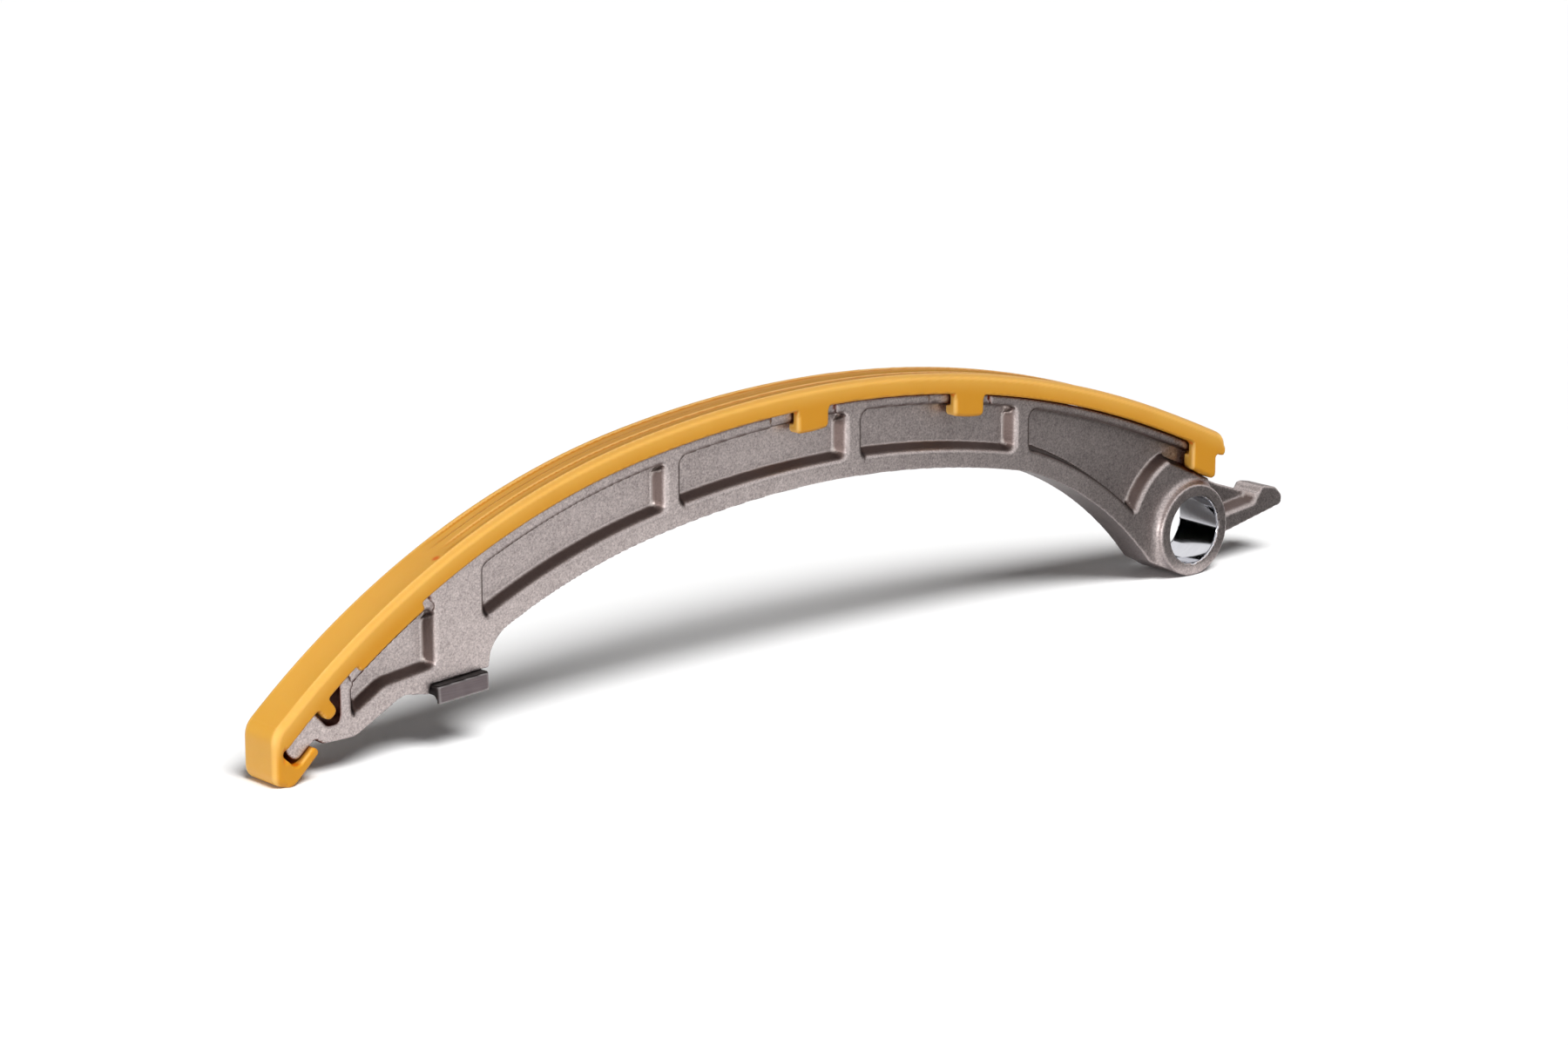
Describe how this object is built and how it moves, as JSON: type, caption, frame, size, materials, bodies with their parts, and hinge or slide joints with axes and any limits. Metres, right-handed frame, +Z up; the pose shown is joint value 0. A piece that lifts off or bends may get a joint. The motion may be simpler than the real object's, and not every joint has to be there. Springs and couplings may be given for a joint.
{
  "type": "timing chain guide",
  "caption": "Arched timing chain guide: a die-cast arm with pocketed sides and a pivot bore, a plastic slide lining clipped along its back and a steel wear plate under its foot.",
  "frame": {"origin": "middle of the pivot bore, at mid-width of the arm", "axes": "+Y along the pivot bore, +X from the arm to the nose, +Z up as the part stands on its boss and hooked end"},
  "size_m": [0.2937, 0.0132, 0.0619],
  "materials": {
    "cast_aluminium": "fine blasted die casting, with a smooth machined bore",
    "slide_plastic": "satin moulded amber plastic",
    "hard_steel": "ground steel"
  },
  "bodies": {
    "root": {"arm_casting": "cast_aluminium", "slide_lining": "slide_plastic", "wear_plate": "hard_steel"}
  },
  "joints": []
}
